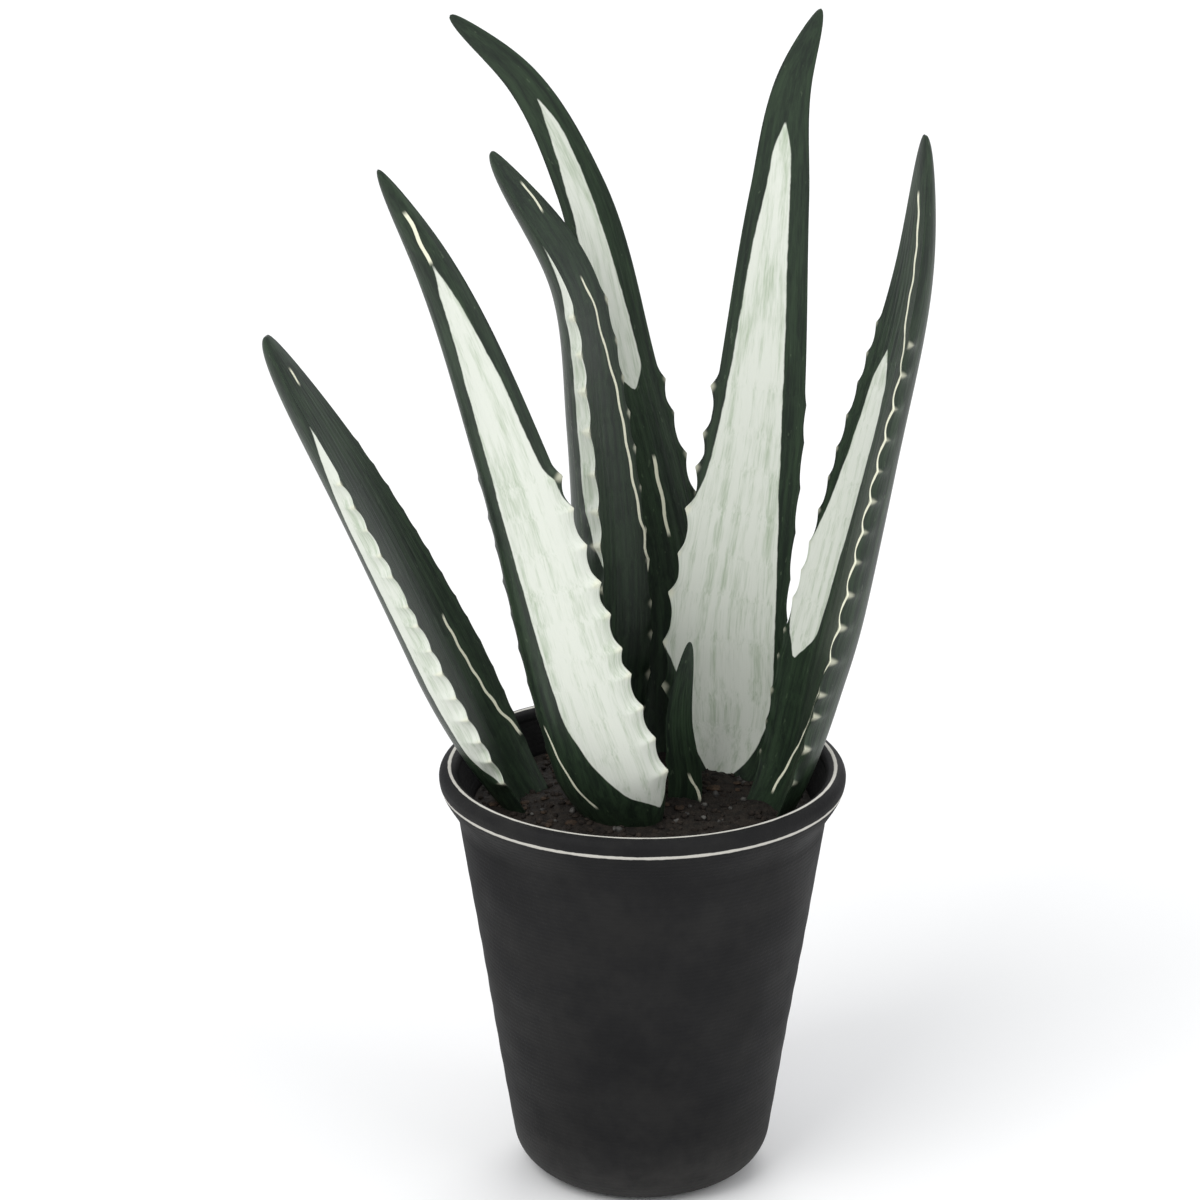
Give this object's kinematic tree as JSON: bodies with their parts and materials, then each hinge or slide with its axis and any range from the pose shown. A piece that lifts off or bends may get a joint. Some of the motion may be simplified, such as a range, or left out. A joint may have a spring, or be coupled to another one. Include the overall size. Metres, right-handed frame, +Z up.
{
  "type": "potted aloe plant",
  "caption": "Young aloe with long tapering toothed leaves, growing from dark soil in a tapered matt black pot with a rolled rim; stands on its base",
  "frame": {"origin": "centre of the flat underside of the pot, on the pot's axis, which is the surface that it stands on", "axes": "+Z up along the pot's axis; -Y is the front, towards the viewer; +X is the viewer's right"},
  "size_m": [0.2248, 0.1529, 0.4045],
  "materials": {
    "pot_clay": "matte",
    "soil": "matte",
    "stem": "matte",
    "leaf": "satin"
  },
  "bodies": {
    "root": {"pot": "pot_clay", "soil": "soil", "stem": "stem", "leaf_left": "leaf", "leaf_front": "leaf", "leaf_back_left": "leaf", "leaf_back": "leaf", "leaf_tall": "leaf", "leaf_right": "leaf", "leaf_young": "leaf"}
  },
  "joints": []
}
